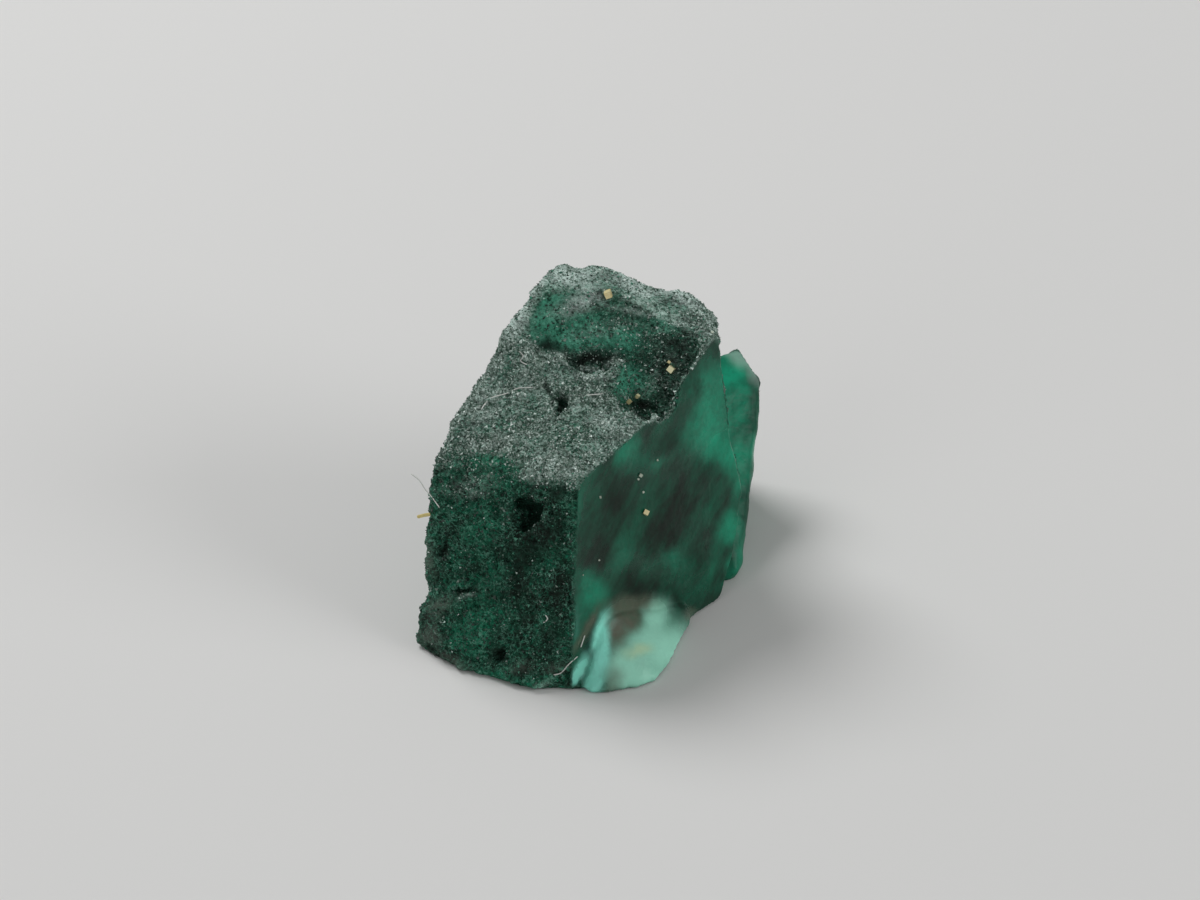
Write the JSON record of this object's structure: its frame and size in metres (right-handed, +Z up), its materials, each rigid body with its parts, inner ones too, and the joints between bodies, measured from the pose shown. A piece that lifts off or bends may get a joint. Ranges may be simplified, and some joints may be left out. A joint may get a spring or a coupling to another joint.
{
  "type": "rough trapiche emerald crystal",
  "caption": "Small rough emerald crystal: one broken hexagonal piece with a crusted sloping top, a pitted prism face, a glassy broken side and a thin flared foot.",
  "frame": {"origin": "centre of the bounding box at the flat underside on which the stone rests", "axes": "+Z up, the shortest extent; +Y to the back, the longest extent; +X to the right as the picture sees the stone"},
  "size_m": [0.005, 0.0056, 0.0045],
  "materials": {
    "emerald": "dark bluish green, half glassy and half crusted"
  },
  "bodies": {
    "root": {"emerald_crystal": "emerald"}
  },
  "joints": []
}
